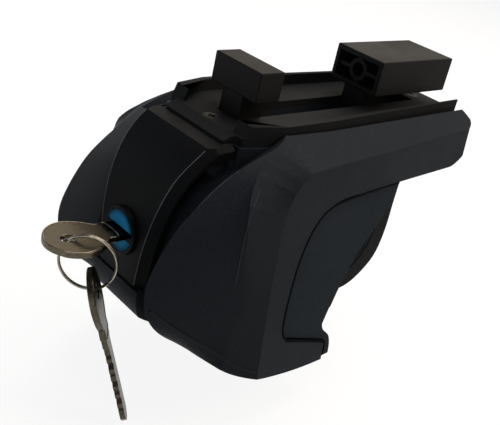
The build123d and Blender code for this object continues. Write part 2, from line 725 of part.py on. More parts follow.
def clamp_claw():
    start = xz(*claw_inner_line[0])
    end = xz(*claw_inner_line[-1])
    back = xz(claw_boss_inner_x, -44.0)
    tip = xz(23.6, -83.7)
    toe = xz(20.6, -81.4)
    top = claw_boss_top_z
    face = make_face([
        Spline(*[xz(*p) for p in claw_inner_line]),
        Line(end, xz(21.0, -77.0)),
        Line(xz(21.0, -77.0), toe),
        Line(toe, tip),
        Spline(tip, xz(29.8, -82.0), xz(36.4, -77.6), xz(42.0, -71.0), xz(44.5, -61.5), xz(44.9, -52.4), back),
        Line(back, xz(claw_boss_inner_x, top - 2.0)),
        Line(xz(claw_boss_inner_x, top - 2.0), xz(claw_boss_inner_x - 2.0, top)),
        Line(xz(claw_boss_inner_x - 2.0, top), xz(claw_boss_outer_x, top)),
        Line(xz(claw_boss_outer_x, top), xz(claw_boss_outer_x, claw_boss_bottom_z)),
        Line(xz(claw_boss_outer_x, claw_boss_bottom_z), xz(34.0, claw_boss_bottom_z)),
        Line(xz(34.0, claw_boss_bottom_z), start),
    ])
    claw = through(face, claw_half_width)
    arm = block(claw_arm_outer_x, claw_boss_outer_x + 1.0, claw_arm_inner_y, claw_half_width,
                arm_under_z + 0.4, arm_under_z + 0.4 + claw_arm_thickness)
    claw = claw + both_sides(arm)
    claw = claw - rod_x(bolt_radius + part_gap, claw_boss_outer_x, claw_boss_inner_x, 0, clamp_z)
    return claw - rod_y(claw_nut_radius + run_gap, claw_nut_x, -claw_half_width, claw_half_width, clamp_z)


def claw_pad():
    outer = [xz(x - part_gap, z) for x, z in claw_inner_line]
    inner = [xz(x - part_gap - claw_pad_thickness, z + 0.3) for x, z in claw_inner_line]
    face = make_face([
        Spline(*outer), Line(outer[-1], inner[-1]), Spline(*inner), Line(inner[0], outer[0]),
    ])
    return through(face, claw_pad_half_width)


def claw_nut():
    nut = rod_y(claw_nut_radius, claw_nut_x, -claw_nut_half_length, claw_nut_half_length, clamp_z)
    return nut - rod_x(bolt_radius + run_gap, 0, far_reach, 0, clamp_z)


# Clamp bolt with its washer, the ring that keeps it in the leg, and the spring that opens the claw
def clamp_bolt():
    head_x = pocket_back_x - washer_thickness
    bolt = rod_x(bolt_head_radius, head_x - bolt_head_length, head_x, 0, clamp_z)
    bolt = bolt + rod_x(bolt_radius, head_x, bolt_end_x, 0, clamp_z)
    socket = Plane(origin=(head_x - bolt_head_length, 0, clamp_z), x_dir=(0, 1, 0), z_dir=(1, 0, 0))
    return bolt - extrude(socket * RegularPolygon(hex_socket / 2, 6, major_radius=False), hex_socket_depth)


def clamp_washer():
    washer = rod_x(washer_radius, pocket_back_x - washer_thickness, pocket_back_x, 0, clamp_z)
    return washer - rod_x(bolt_radius + part_gap, -far_reach, 0, 0, clamp_z)


def bolt_retainer():
    start = channel_outer_x + part_gap
    ring = rod_x(retainer_radius, start, start + retainer_thickness, 0, clamp_z)
    return ring - rod_x(bolt_radius + run_gap, start, start + retainer_thickness, 0, clamp_z)


def return_spring():
    start = channel_outer_x + part_gap + retainer_thickness + spring_wire_radius + run_gap
    length = claw_boss_outer_x - spring_wire_radius - run_gap - start
    coil = Helix(length / spring_turns, length, spring_radius)
    section = RegularPolygon(spring_wire_radius, 6)
    wire = sweep(Plane(origin=coil @ 0, z_dir=coil % 0) * section, path=coil, is_frenet=True)
    return Pos(start, 0, clamp_z) * Rot(0, 90, 0) * wire


# Short block: head in the bar's channel, neck down through the slot, drawn down by stud and nut
def front_t_block():
    head = block(front_block_x, front_block_x + front_block_length, -block_width / 2, block_width / 2,
                 front_block_bottom_z, front_block_bottom_z + front_block_height)
    head = fillet(head.edges(), 0.6)
    neck = block(front_neck_x - neck_width / 2, front_neck_x + neck_width / 2, -neck_width / 2, neck_width / 2,
                 deck_under_z + 1.0, front_block_bottom_z + 1.0)
    return head + neck - rod_z(stud_radius, front_neck_x, 0, deck_under_z, stud_top_z)


def front_stud():
    return rod_z(stud_radius, front_neck_x, 0, stud_end_z, stud_top_z)


def front_washer():
    washer = rod_z(front_washer_radius, front_neck_x, 0, deck_under_z - front_washer_thickness, deck_under_z)
    return washer - rod_z(stud_radius + part_gap, front_neck_x, 0, -far_reach, 0)


def front_nut():
    top = deck_under_z - front_washer_thickness
    hexagon = RegularPolygon(front_nut_flats / 2, 6, major_radius=False)
    nut = extrude(Pos(front_neck_x, 0, top - front_nut_thickness) * hexagon, front_nut_thickness)
    return nut - rod_z(stud_radius + run_gap, front_neck_x, 0, -far_reach, 0)


# Long block: hollow moulding open outboard, with a ribbed tube inside, on a neck and a sliding foot
def rear_t_block():
    end_x = rear_block_x + rear_block_length
    top_z = rear_block_bottom_z + rear_block_height
    mid_z = (rear_block_bottom_z + top_z) / 2
    half = block_width / 2
    wall = rear_block_wall
    shell = block(rear_block_x, end_x, -half, half, rear_block_bottom_z, top_z)
    shell = fillet(shell.edges(), 0.6)
    shell = shell - block(rear_block_x, end_x - wall, wall - half, half - wall,
                          rear_block_bottom_z + wall, top_z - wall)
    rib_start = rear_block_x + 1.0
    shell = shell + rod_x(rear_tube_radius, rib_start, end_x - wall, 0, mid_z)
    shell = shell + block(rib_start, end_x - wall, -half + wall / 2, half - wall / 2,
                          mid_z - rear_block_rib / 2, mid_z + rear_block_rib / 2)
    shell = shell + block(rib_start, end_x - wall, -rear_block_rib / 2, rear_block_rib / 2,
                          rear_block_bottom_z + wall / 2, top_z - wall / 2)
    shell = shell - rod_x(rear_tube_bore_radius, rib_start, end_x - wall, 0, mid_z)
    neck = block(rear_neck_x - rear_neck_length / 2, rear_neck_x + rear_neck_length / 2, -neck_width / 2,
                 neck_width / 2, rear_foot_top_z, rear_block_bottom_z + 1.0)
    neck = neck - rod_z(rear_screw_radius, rear_neck_x, 0, rear_foot_top_z, rear_screw_top_z)
    return shell + neck


def rear_foot():
    foot = block(rear_neck_x - rear_foot_length / 2, rear_neck_x + rear_foot_length / 2, -rear_foot_half_width,
                 rear_foot_half_width, rear_foot_top_z - rear_foot_thickness, rear_foot_top_z)
    foot = foot - rod_z(rear_screw_radius + part_gap, rear_neck_x, 0, -far_reach, 0)
    sink = Cone(rear_screw_head_radius + run_gap, rear_screw_radius + run_gap, rear_screw_sink)
    return foot - Pos(rear_neck_x, 0, rear_foot_top_z - rear_foot_thickness + rear_screw_sink / 2) * sink


def rear_screw():
    bottom_z = rear_foot_top_z - rear_foot_thickness
    screw = Pos(rear_neck_x, 0, bottom_z + rear_screw_sink / 2) * Cone(rear_screw_head_radius, rear_screw_radius,
                                                                       rear_screw_sink)
    screw = screw + rod_z(rear_screw_radius, rear_neck_x, 0, bottom_z + rear_screw_sink, rear_screw_top_z)
    socket = Pos(rear_neck_x, 0, bottom_z) * RegularPolygon(1.5, 6, major_radius=False)
    return screw - extrude(socket, 1.6)


nodes = {
    "housing": housing(),
    "bar_seat": bar_seat(),
    "seat_screw_outer": seat_screw(seat_screw_x),
    "seat_screw_inner": seat_screw(seat_screw_far_x),
    "front_cover": front_cover(),
    "cover_pin": cover_pin(),
    "lock_sleeve": lock_sleeve(),
    "lock_plug": lock_plug(),
    "lock_nut": lock_nut(),
    "lock_cam": lock_cam(),
    "cam_screw": cam_screw(),
    "key": key(),
    "key_ring": key_ring(),
    "spare_key": spare_key(),
    "rail_pad": rail_pad(),
    "clamp_claw": clamp_claw(),
    "claw_pad": claw_pad(),
    "claw_nut": claw_nut(),
    "clamp_bolt": clamp_bolt(),
    "clamp_washer": clamp_washer(),
    "bolt_retainer": bolt_retainer(),
    "return_spring": return_spring(),
    "front_t_block": front_t_block(),
    "front_stud": front_stud(),
    "front_washer": front_washer(),
    "front_nut": front_nut(),
    "rear_t_block": rear_t_block(),
    "rear_foot": rear_foot(),
    "rear_screw": rear_screw(),
}

os.makedirs("parts", exist_ok=True)
for name, shape in nodes.items():
    export_step(shape, f"parts/{name}.step")
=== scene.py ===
from math import cos, pi, radians, sin, sqrt

import bmesh
import bpy
from mathutils import Matrix, Vector


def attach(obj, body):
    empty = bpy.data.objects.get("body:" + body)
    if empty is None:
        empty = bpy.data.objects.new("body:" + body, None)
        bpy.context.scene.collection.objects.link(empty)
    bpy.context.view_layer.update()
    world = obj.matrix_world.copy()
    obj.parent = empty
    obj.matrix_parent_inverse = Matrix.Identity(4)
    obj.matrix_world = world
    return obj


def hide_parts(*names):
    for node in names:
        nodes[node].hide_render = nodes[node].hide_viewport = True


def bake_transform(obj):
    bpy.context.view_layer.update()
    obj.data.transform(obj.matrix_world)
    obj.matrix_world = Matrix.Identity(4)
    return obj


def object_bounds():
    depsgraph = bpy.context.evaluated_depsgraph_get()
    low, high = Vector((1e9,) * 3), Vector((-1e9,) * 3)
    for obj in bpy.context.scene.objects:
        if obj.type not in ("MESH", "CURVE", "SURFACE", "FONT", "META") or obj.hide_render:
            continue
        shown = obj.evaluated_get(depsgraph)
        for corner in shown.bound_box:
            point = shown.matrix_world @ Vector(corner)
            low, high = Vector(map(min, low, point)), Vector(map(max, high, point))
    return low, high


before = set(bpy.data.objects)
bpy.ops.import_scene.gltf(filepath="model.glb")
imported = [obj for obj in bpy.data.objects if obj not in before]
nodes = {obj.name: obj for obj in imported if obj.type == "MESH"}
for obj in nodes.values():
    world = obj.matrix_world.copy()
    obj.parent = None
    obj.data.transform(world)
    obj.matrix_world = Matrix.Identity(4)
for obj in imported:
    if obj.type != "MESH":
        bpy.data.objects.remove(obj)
cad_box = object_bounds()
bpy.context.scene.view_settings.view_transform = "Standard"

# Housing
# One injection moulding in black glass-filled nylon that carries everything else. Its skin has a fine
# matt grain, and its sharp edges have a small moulded radius.


def linear(text):
    """Linear colour of an sRGB hex value."""
    channels = [int(text[i:i + 2], 16) / 255 for i in (1, 3, 5)]
    return (*[c / 12.92 if c <= 0.04045 else ((c + 0.055) / 1.055) ** 2.4 for c in channels], 1.0)


def add(tree, kind, settings=None, links=None, stops=()):
    """Adds one node, sets its properties and free sockets, links its other sockets and, on a colour ramp,
    sets the stops."""
    made = tree.nodes.new(kind)
    for name, value in (settings or {}).items():
        if isinstance(name, int) or name in made.inputs:
            made.inputs[name].default_value = value
        else:
            setattr(made, name, value)
    for name, source in (links or {}).items():
        tree.links.new(source, made.inputs[name])
    for i, (position, colour) in enumerate(stops):
        made.color_ramp.elements[i].position = position
        made.color_ramp.elements[i].color = linear(colour)
    return made


def new_material(name):
    """An empty node material with its tree and its output."""
    material = bpy.data.materials.new(name)
    material.use_nodes = True
    tree = material.node_tree
    tree.nodes.clear()
    return material, tree, tree.nodes.new("ShaderNodeOutputMaterial")


def moulded_black(name, dark, pale, roughness, gloss, grain_mm, relief_mm, painted_light_colour=None):
    """Matt moulded skin: a grain that shows as fine speckle, and slow patches of flow. The grain is drawn
    coarser than the real one, which is too fine to show. A painted light is a paler colour painted on the
    faces that the mesh marks as lying in shade, so that they read as lit."""
    flow_mm, speckle_share, flow_share = 26, 0.6, 0.4
    low, high = 0.3, 0.7
    smoothest, roughest = roughness - 0.05, roughness + 0.06
    bump_strength = 0.3
    material, tree, output = new_material(name)
    place = add(tree, "ShaderNodeTexCoord")
    grain = add(tree, "ShaderNodeTexNoise", {"Scale": 1000 / grain_mm, "Detail": 3.0, "Roughness": 0.6},
                {"Vector": place.outputs["Object"]})
    flow = add(tree, "ShaderNodeTexNoise", {"Scale": 1000 / flow_mm, "Detail": 3.0, "Distortion": 0.4},
               {"Vector": place.outputs["Object"]})
    speckle = add(tree, "ShaderNodeMath", {"operation": "MULTIPLY", 1: speckle_share},
                  {0: grain.outputs["Fac"]})
    shade = add(tree, "ShaderNodeMath", {"operation": "MULTIPLY_ADD", 1: flow_share},
                {0: flow.outputs["Fac"], 2: speckle.outputs["Value"]})
    tint = add(tree, "ShaderNodeValToRGB", {}, {"Fac": shade.outputs["Value"]}, ((low, dark), (high, pale)))
    sheen = add(tree, "ShaderNodeMapRange",
                {"From Min": low, "From Max": high, "To Min": smoothest, "To Max": roughest},
                {"Value": flow.outputs["Fac"]})
    bump = add(tree, "ShaderNodeBump", {"Strength": bump_strength, "Distance": relief_mm / 1000},
               {"Height": grain.outputs["Fac"]})
    colour = tint.outputs["Color"]
    # Painted light: faces marked in the mesh, which lie in shade, get a paler colour so that they read as
    # lit.
    if painted_light_colour:
        marked = add(tree, "ShaderNodeAttribute", {"attribute_name": "painted_light_faces"})
        colour = add(tree, "ShaderNodeMix", {"data_type": "RGBA", 7: linear(painted_light_colour)},
                     {0: marked.outputs["Fac"], 6: colour}).outputs[2]
    shader = add(tree, "ShaderNodeBsdfPrincipled", {"IOR": 1.5, "Specular IOR Level": gloss},
                 {"Base Color": colour, "Roughness": sheen.outputs["Result"],
                  "Normal": bump.outputs["Normal"]})
    tree.links.new(shader.outputs["BSDF"], output.inputs["Surface"])
    return material


def settled(piece, *kinds):
    """Turns a piece's modifiers into plain mesh."""
    for name, kind, settings in kinds:
        modifier = piece.modifiers.new(name, kind)
        for key, value in settings.items():
            setattr(modifier, key, value)
    bpy.context.view_layer.update()
    solid = bpy.data.meshes.new_from_object(piece.evaluated_get(bpy.context.evaluated_depsgraph_get()))
    piece.modifiers.clear()
    piece.data = solid
    return solid


def softened(name, body, material, radius, crease=24, smooth=18, flats=()):
    """Copy of a solid with small edge radii, standing for the sharp one. Edges over the crease angle are
    rounded, and those under the smooth angle are shaded as one skin. The borders of the faces that point
    along one of the flats stay crisp."""
    weld_distance, same_plane_degrees, radius_segments = 2e-6, 0.5, 2
    on_flat_cosine, least_border_degrees, area_weight = 0.9998, 4, 80
    mesh = nodes[name].data.copy()
    form = bmesh.new()
    form.from_mesh(mesh)
    bmesh.ops.remove_doubles(form, verts=form.verts, dist=weld_distance)
    bmesh.ops.dissolve_limit(form, angle_limit=radians(same_plane_degrees),
                             verts=form.verts, edges=form.edges)
    form.to_mesh(mesh)
    form.free()
    mesh.materials.clear()
    mesh.materials.append(material)
    piece = bpy.data.objects.new(name + "_moulded", mesh)
    bpy.context.scene.collection.objects.link(piece)
    solid = settled(piece, ("edge_radius", "BEVEL", {
        "width": radius, "segments": radius_segments, "limit_method": "ANGLE", "angle_limit": radians(crease),
        "use_clamp_overlap": True, "harden_normals": False}))
    solid.shade_smooth()
    solid.set_sharp_from_angle(angle=radians(smooth))
    form = bmesh.new()
    form.from_mesh(solid)
    for edge in form.edges:
        on_flat = [any(face.normal.dot(flat) > on_flat_cosine for flat in flats) for face in edge.link_faces]
        is_border = len(on_flat) == 2 and on_flat[0] != on_flat[1]
        if is_border and edge.calc_face_angle(0.0) > radians(least_border_degrees):
            edge.smooth = False
    form.to_mesh(solid)
    form.free()
    settled(piece, ("flat_faces", "WEIGHTED_NORMAL", {"keep_sharp": True, "weight": area_weight}))
    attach(piece, body)
    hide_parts(name)
    return piece


# Grained nylon is an even, slightly bluish matt black. The wings' inner walls, which lie in shade, get a
# painted light: a paler tone.
grained_nylon = moulded_black("grained_black_nylon", "#171b20", "#272c32", roughness=0.6, gloss=0.08,
                              grain_mm=0.9, relief_mm=0.05, painted_light_colour="#54575a")
flank_taper, flank_flare = 0.0716, 0.085
flank_normals = [Vector((flank_taper, side, flank_flare)).normalized() for side in (-1.0, 1.0)]
housing = softened("housing", "foot", grained_nylon, radius=0.0006, flats=flank_normals)
# Marks the wings' inward walls, which lie in shade, for the painted light.
wing_start_x, wing_inner_y, inward_limit = -0.066, 0.017, -0.3
painted_light_faces = housing.data.attributes.new("painted_light_faces", "FLOAT", "FACE")
for face in housing.data.polygons:
    faces_inward = face.normal.y * (1 if face.center.y > 0 else -1) < inward_limit
    if faces_inward and face.center.x < wing_start_x and abs(face.center.y) > wing_inner_y:
        painted_light_faces.data[face.index].value = 1.0

# Rim beads
# A thin rounded bead moulded along the foot of each wing, just above its lower edge. Same nylon as
# the housing. Its path is drawn near the wing and drops on to the skin.


def swept(name, path, material, wire_mm, skin=None, closed=False):
    """Round bead of a wire's radius along a smooth path, both in millimetres; with a skin given, the path
    is laid on that surface."""
    wire_sides, steps_per_point = 8, 12
    line = bpy.data.meshes.new(name)
    edges = [(i, i + 1) for i in range(len(path) - 1)] + ([(len(path) - 1, 0)] if closed else [])
    line.from_pydata([tuple(c / 1000 for c in p) for p in path], edges, [])
    piece = bpy.data.objects.new(name, line)
    bpy.context.scene.collection.objects.link(piece)
    tree = bpy.data.node_groups.new(name + "_sweep", "GeometryNodeTree")
    tree.interface.new_socket("Path", in_out="INPUT", socket_type="NodeSocketGeometry")
    wire = tree.interface.new_socket("Wire radius", in_out="INPUT", socket_type="NodeSocketFloat")
    steps = tree.interface.new_socket("Steps", in_out="INPUT", socket_type="NodeSocketInt")
    surface = tree.interface.new_socket("Skin", in_out="INPUT", socket_type="NodeSocketObject")
    tree.interface.new_socket("Bead", in_out="OUTPUT", socket_type="NodeSocketGeometry")
    given = add(tree, "NodeGroupInput")
    curve = add(tree, "GeometryNodeMeshToCurve", {}, {"Mesh": given.outputs["Path"]})
    curve = add(tree, "GeometryNodeCurveSplineType", {"spline_type": "CATMULL_ROM"},
                {"Curve": curve.outputs["Curve"]})
    curve = add(tree, "GeometryNodeResampleCurve", {},
                {"Curve": curve.outputs["Curve"], "Count": given.outputs["Steps"]})
    laid = curve.outputs["Curve"]
    if skin:
        target = add(tree, "GeometryNodeObjectInfo", {"transform_space": "RELATIVE"},
                     {"Object": given.outputs["Skin"]})
        spot = add(tree, "GeometryNodeProximity", {"target_element": "FACES"},
                   {0: target.outputs["Geometry"]})
        laid = add(tree, "GeometryNodeSetPosition", {},
                   {"Geometry": laid, "Position": spot.outputs["Position"]}).outputs["Geometry"]
    ring = add(tree, "GeometryNodeCurvePrimitiveCircle", {"Resolution": wire_sides},
               {"Radius": given.outputs["Wire radius"]})
    bead = add(tree, "GeometryNodeCurveToMesh", {"Fill Caps": True},
               {"Curve": laid, "Profile Curve": ring.outputs["Curve"]})
    bead = add(tree, "GeometryNodeSetShadeSmooth", {}, {"Geometry": bead.outputs["Mesh"]})
    bead = add(tree, "GeometryNodeRealizeInstances", {}, {"Geometry": bead.outputs["Geometry"]})
    bead = add(tree, "GeometryNodeSetMaterial", {"Material": material},
               {"Geometry": bead.outputs["Geometry"]})
    add(tree, "NodeGroupOutput", {}, {"Bead": bead.outputs["Geometry"]})
    modifier = piece.modifiers.new("sweep", "NODES")
    modifier.node_group = tree
    modifier[wire.identifier] = wire_mm / 1000
    modifier[steps.identifier] = steps_per_point * len(path)
    modifier[surface.identifier] = skin
    settled(piece)
    return piece


def bead_pair(name, near_path, material, wire_mm, body, skin=None):
    """A bead on the near side, and its mirror image on the far side."""
    for side, sign in (("near", 1), ("far", -1)):
        path = [(x, sign * y, z) for x, y, z in near_path]
        bead = swept(name + "_" + side, path, material, wire_mm, skin)
        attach(bead, body)


bead_radius = 0.55
rim_path = [(-94.6, -28.8, -54.8), (-87.2, -31.8, -60.8), (-79.6, -34.8, -66.7), (-70.0, -39.0, -73.4),
            (-61.9, -42.5, -79.6), (-53.4, -45.3, -83.9)]
bead_pair("rim_bead", rim_path, grained_nylon, bead_radius, "foot", housing)

# Shoulder lines
# A fine raised line along each shoulder, where the wing meets the flank, moulded with the housing.
# Its nylon is painted a little paler than the skin beside it, a painted highlight, and is smoother, so the
# line catches the light.
painted_highlight_nylon = moulded_black("painted_highlight_nylon", "#2c2f32", "#3c3f43", roughness=0.5, gloss=0.15,
                             grain_mm=0.9, relief_mm=0.02)
shoulder_radius = 0.2
shoulder_path = [(-63.4, -35.7, -11.2), (-65.8, -37.6, -14.2), (-67.5, -38.8, -16.3), (-69.5, -40.2, -22.0),
                 (-69.7, -40.5, -30.0), (-69.1, -40.5, -44.0)]
bead_pair("shoulder_line", shoulder_path, painted_highlight_nylon, shoulder_radius, "foot", housing)

# Rail pad and claw lining
# Soft black rubber mouldings that grip the rail: the pad sits in the leg's hollow, the lining in the
# claw's hook. The rubber has a dusty, even matt skin with hardly any grain.
pad_rubber = moulded_black("dusty_black_rubber", "#252b31", "#313941", roughness=0.75, gloss=0.07,
                           grain_mm=1.6, relief_mm=0.03)
softened("rail_pad", "foot", pad_rubber, radius=0.0006)
softened("claw_pad", "claw", pad_rubber, radius=0.0004)

# Lining's rolled edges
# A soft round bead beside the claw's lining, on both sides, that covers the hook's inner edge.
# Same rubber as the lining.
lining_radius, lining_y = 1.3, 16.2
lining_outline = [(35.5, -31.0), (36.0, -39.7), (36.2, -49.5), (35.3, -59.0), (31.8, -67.5), (26.0, -73.0)]
lining_path = [(x, -lining_y, z) for x, z in lining_outline]
bead_pair("lining_edge", lining_path, pad_rubber, lining_radius, "claw")

# Pad seam shadows
# A painted shadow: a near-black bead laid in the joint between pad and leg on each flank. It stands
# for the shade in that joint and shows as a dark line round the pad.


def under_flank(outline, depth):
    """Path at a depth under the near flank, from an outline's x and z, all in millimetres."""
    half_width = 34.84
    return [(x, -(half_width - flank_taper * x - flank_flare * z - depth), z) for x, z in outline]


# Painted shadow: a near-black colour standing for the shade in the joint round the pad.
seam_shadow_paint = moulded_black("painted_seam_shadow", "#070809", "#0d0e0f", roughness=0.85, gloss=0.05,
                            grain_mm=1.6, relief_mm=0.02)
seam_radius, seam_depth = 0.6, 0.3
seam_outline = [(16.0, -20.8), (4.0, -20.9), (-8.0, -21.1), (-25.6, -22.8), (-34.0, -28.8), (-39.2, -40.0),
                (-41.6, -54.0), (-42.2, -66.0), (-41.3, -71.2), (-38.6, -74.8), (-35.6, -76.2),
                (-25.0, -80.0), (-14.4, -83.9), (-12.6, -85.2), (-12.4, -87.4), (-12.4, -90.4)]
bead_pair("pad_seam", under_flank(seam_outline, seam_depth), seam_shadow_paint, seam_radius, "foot")

# Pad's rolled edge
# The rail side of the pad ends in a thick rounded edge on each flank.
# Same rubber as the pad, and moulded with it in one piece.
edge_radius, edge_depth = 0.9, 2.0
edge_outline = [(17.2, -23.0), (17.2, -26.4), (14.8, -31.0), (5.5, -41.2), (-2.3, -50.0), (-8.7, -60.7),
                (-12.6, -69.4)]
bead_pair("pad_edge", under_flank(edge_outline, edge_depth), pad_rubber, edge_radius, "foot")

# Bar seat
# A rubber plate with a rib along each long edge, laid in the deck's recess and held by two countersunk
# screws. The rubber is matt and a more neutral black than the pad's.
seat_rubber = moulded_black("seat_rubber", "#161718", "#212223", roughness=0.7, gloss=0.07,
                            grain_mm=1.2, relief_mm=0.03)
softened("bar_seat", "foot", seat_rubber, radius=0.0003)

# Seat screws
# Cross-recessed countersunk screws in steel, flush with the seat.
# Black oxide leaves them dull and nearly black.


def dress(name, material):
    """Gives a solid that stays as it is its finish."""
    for slot in nodes[name].material_slots:
        slot.material = material


def metal(name, dark, pale, rough_low, rough_high, cloud_mm, painted_shade_band=None):
    """Worked metal: slow clouds of tone in which the finish goes from brighter to duller. A painted shade
    darkens a band along X: clean before the first place, full between the middle two and clean after the
    last."""
    low, high = 0.3, 0.7
    material, tree, output = new_material(name)
    place = add(tree, "ShaderNodeTexCoord")
    cloud = add(tree, "ShaderNodeTexNoise", {"Scale": 1000 / cloud_mm, "Detail": 5.0, "Roughness": 0.65},
                {"Vector": place.outputs["Object"]})
    tint = add(tree, "ShaderNodeValToRGB", {}, {"Fac": cloud.outputs["Fac"]}, ((low, dark), (high, pale)))
    satin = add(tree, "ShaderNodeMapRange",
                {"From Min": low, "From Max": high, "To Min": rough_low, "To Max": rough_high},
                {"Value": cloud.outputs["Fac"]})
    colour = tint.outputs["Color"]
    # Painted shade: a dark band along X.
    if painted_shade_band:
        before_mm, full_mm, fading_mm, after_mm, shade = painted_shade_band
        axes = add(tree, "ShaderNodeSeparateXYZ", {}, {"Vector": place.outputs["Object"]})
        rising = add(tree, "ShaderNodeMapRange", {"From Min": before_mm / 1000, "From Max": full_mm / 1000},
                     {"Value": axes.outputs["X"]})
        falling = add(tree, "ShaderNodeMapRange", {"From Min": after_mm / 1000, "From Max": fading_mm / 1000},
                      {"Value": axes.outputs["X"]})
        band = add(tree, "ShaderNodeMath", {"operation": "MINIMUM"},
                   {0: rising.outputs["Result"], 1: falling.outputs["Result"]})
        colour = add(tree, "ShaderNodeMix", {"data_type": "RGBA", 7: linear(shade)},
                     {0: band.outputs["Value"], 6: colour}).outputs[2]
    shader = add(tree, "ShaderNodeBsdfPrincipled", {"Metallic": 1.0},
                 {"Base Color": colour, "Roughness": satin.outputs["Result"]})
    tree.links.new(shader.outputs["BSDF"], output.inputs["Surface"])
    return material


black_oxide = metal("black_oxide_steel", "#0e0e0f", "#181819", rough_low=0.5, rough_high=0.65, cloud_mm=3.0)
for name in ("seat_screw_outer", "seat_screw_inner"):
    dress(name, black_oxide)

# Zinc plated fasteners
# Turned and stamped steel pieces of the hinge, the lock, the clamp and the blocks.
# A thin bluish zinc plate makes them satin and slightly cloudy.
zinc_plate = metal("zinc_plated_steel", "#8f9498", "#b9bdc0", rough_low=0.28, rough_high=0.42, cloud_mm=4.0)
for name in ("cover_pin", "lock_nut", "lock_cam", "cam_screw", "claw_nut", "clamp_bolt", "clamp_washer",
             "bolt_retainer", "front_stud", "front_washer", "front_nut", "rear_foot", "rear_screw"):
    dress(name, zinc_plate)

# Return spring
# Seven open turns of drawn steel wire round the clamp bolt. Its outboard end stays in the leg, by the
# bolt's retainer, and its inboard end goes with the claw. The real spring shortens as the claw is drawn
# in; this one is wound once, at a fixed length, and is tied to neither part.
spring_radius, spring_wire, spring_turns, points_per_turn = 4.0, 0.55, 7, 10
spring_start, spring_end, spring_z = -17.9, 25.4, -15.8
spring_steps = spring_turns * points_per_turn
helix = []
for i in range(spring_steps + 1):
    angle = 2 * pi * i / points_per_turn
    along = spring_start + (spring_end - spring_start) * i / spring_steps
    helix.append((along, spring_radius * cos(angle), spring_z + spring_radius * sin(angle)))
# Drawn wire is smoother than the zinc plate, and a darker grey.
drawn_steel = metal("drawn_spring_wire", "#6c7073", "#8d9194", rough_low=0.25, rough_high=0.38, cloud_mm=2.0)
spring = swept("wound_spring", helix, drawn_steel, spring_wire)
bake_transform(spring)
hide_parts("return_spring")

# Claw
# Cast metal hook, drawn under the rail by the clamp bolt.
# Its black powder coat is even and matt, with a faint grain.
powder_coat = moulded_black("black_powder_coat", "#151617", "#212223", roughness=0.62, gloss=0.06,
                            grain_mm=1.4, relief_mm=0.05)
softened("clamp_claw", "claw", powder_coat, radius=0.0008)

# Channel blocks
# Two nylon mouldings that stand in the bar's channel and slide along the seat's slot.
# The nylon is matt and a warmer black than the housing's.
block_nylon = moulded_black("block_nylon", "#141413", "#1e1d1c", roughness=0.52, gloss=0.07,
                            grain_mm=0.9, relief_mm=0.04)
softened("front_t_block", "front_block", block_nylon, radius=0.0004)
softened("rear_t_block", "rear_block", block_nylon, radius=0.0004)

# Front cover
# Plastic visor with bevelled long edges, moulded in one piece, that swings on the pin.
# Its satin black is deeper and smoother than the housing's.
cover_satin = moulded_black("satin_black_cover", "#0d0e10", "#151719", roughness=0.52, gloss=0.045,
                            grain_mm=0.8, relief_mm=0.03)
cover = softened("front_cover", "cover", cover_satin, radius=0.0004)

# Cover's edge lines
# The sharp line between the cover's face and its bevel, on both sides, moulded with the cover.
# Its plastic is painted paler than the face, a painted highlight, and is glossier, so each edge shows as a
# thin stripe.
painted_highlight_cover = moulded_black("painted_highlight_cover_edge", "#4a4d4f", "#606365", roughness=0.4, gloss=0.3,
                             grain_mm=0.8, relief_mm=0.01)
cover_line_radius = 0.18
cover_line = [(-88.4, -10.7, -57.0), (-88.8, -12.4, -43.1), (-87.3, -14.3, -28.4), (-82.4, -16.0, -14.4),
              (-73.4, -17.3, -4.2)]
bead_pair("cover_edge", cover_line, painted_highlight_cover, cover_line_radius, "cover", cover)

# Lock
# Barrel with a satin black rim, fixed in the cover, and a plug of blue plastic that turns in it. The plug
# shows as two half discs either side of a near-black band, painted shade of the keyway and the key, and its
# blue is painted darker towards the rim, a painted shade from the recess.
lock_black = moulded_black("lock_black", "#08090b", "#0f1013", roughness=0.5, gloss=0.05,
                           grain_mm=1.0, relief_mm=0.01)
softened("lock_sleeve", "cover", lock_black, radius=0.0003)
lock_middle_mm = -40.3
band_half_mm, band_fades_mm = 1.7, 2.1
rim_shade_starts_mm, rim_shade_full_mm = 5.4, 7.6
blue_cloud_mm = 6
lock_blue, tree, output = new_material("blue_plastic_plug")
place = add(tree, "ShaderNodeTexCoord")
axes = add(tree, "ShaderNodeSeparateXYZ", {}, {"Vector": place.outputs["Object"]})
# Painted shade: a near-black band across the plug where the key goes in, for the keyway and the key's shadow.
above = add(tree, "ShaderNodeMath", {"operation": "SUBTRACT", 1: lock_middle_mm / 1000},
            {0: axes.outputs["Z"]})
above = add(tree, "ShaderNodeMath", {"operation": "ABSOLUTE"}, {0: above.outputs["Value"]})
outside = add(tree, "ShaderNodeMapRange", {"From Min": band_half_mm / 1000, "From Max": band_fades_mm / 1000},
              {"Value": above.outputs["Value"]})
cloud = add(tree, "ShaderNodeTexNoise", {"Scale": 1000 / blue_cloud_mm, "Detail": 2.0},
            {"Vector": place.outputs["Object"]})
tint = add(tree, "ShaderNodeValToRGB", {}, {"Fac": cloud.outputs["Fac"]},
           ((0.0, "#2299da"), (1.0, "#48bcf0")))
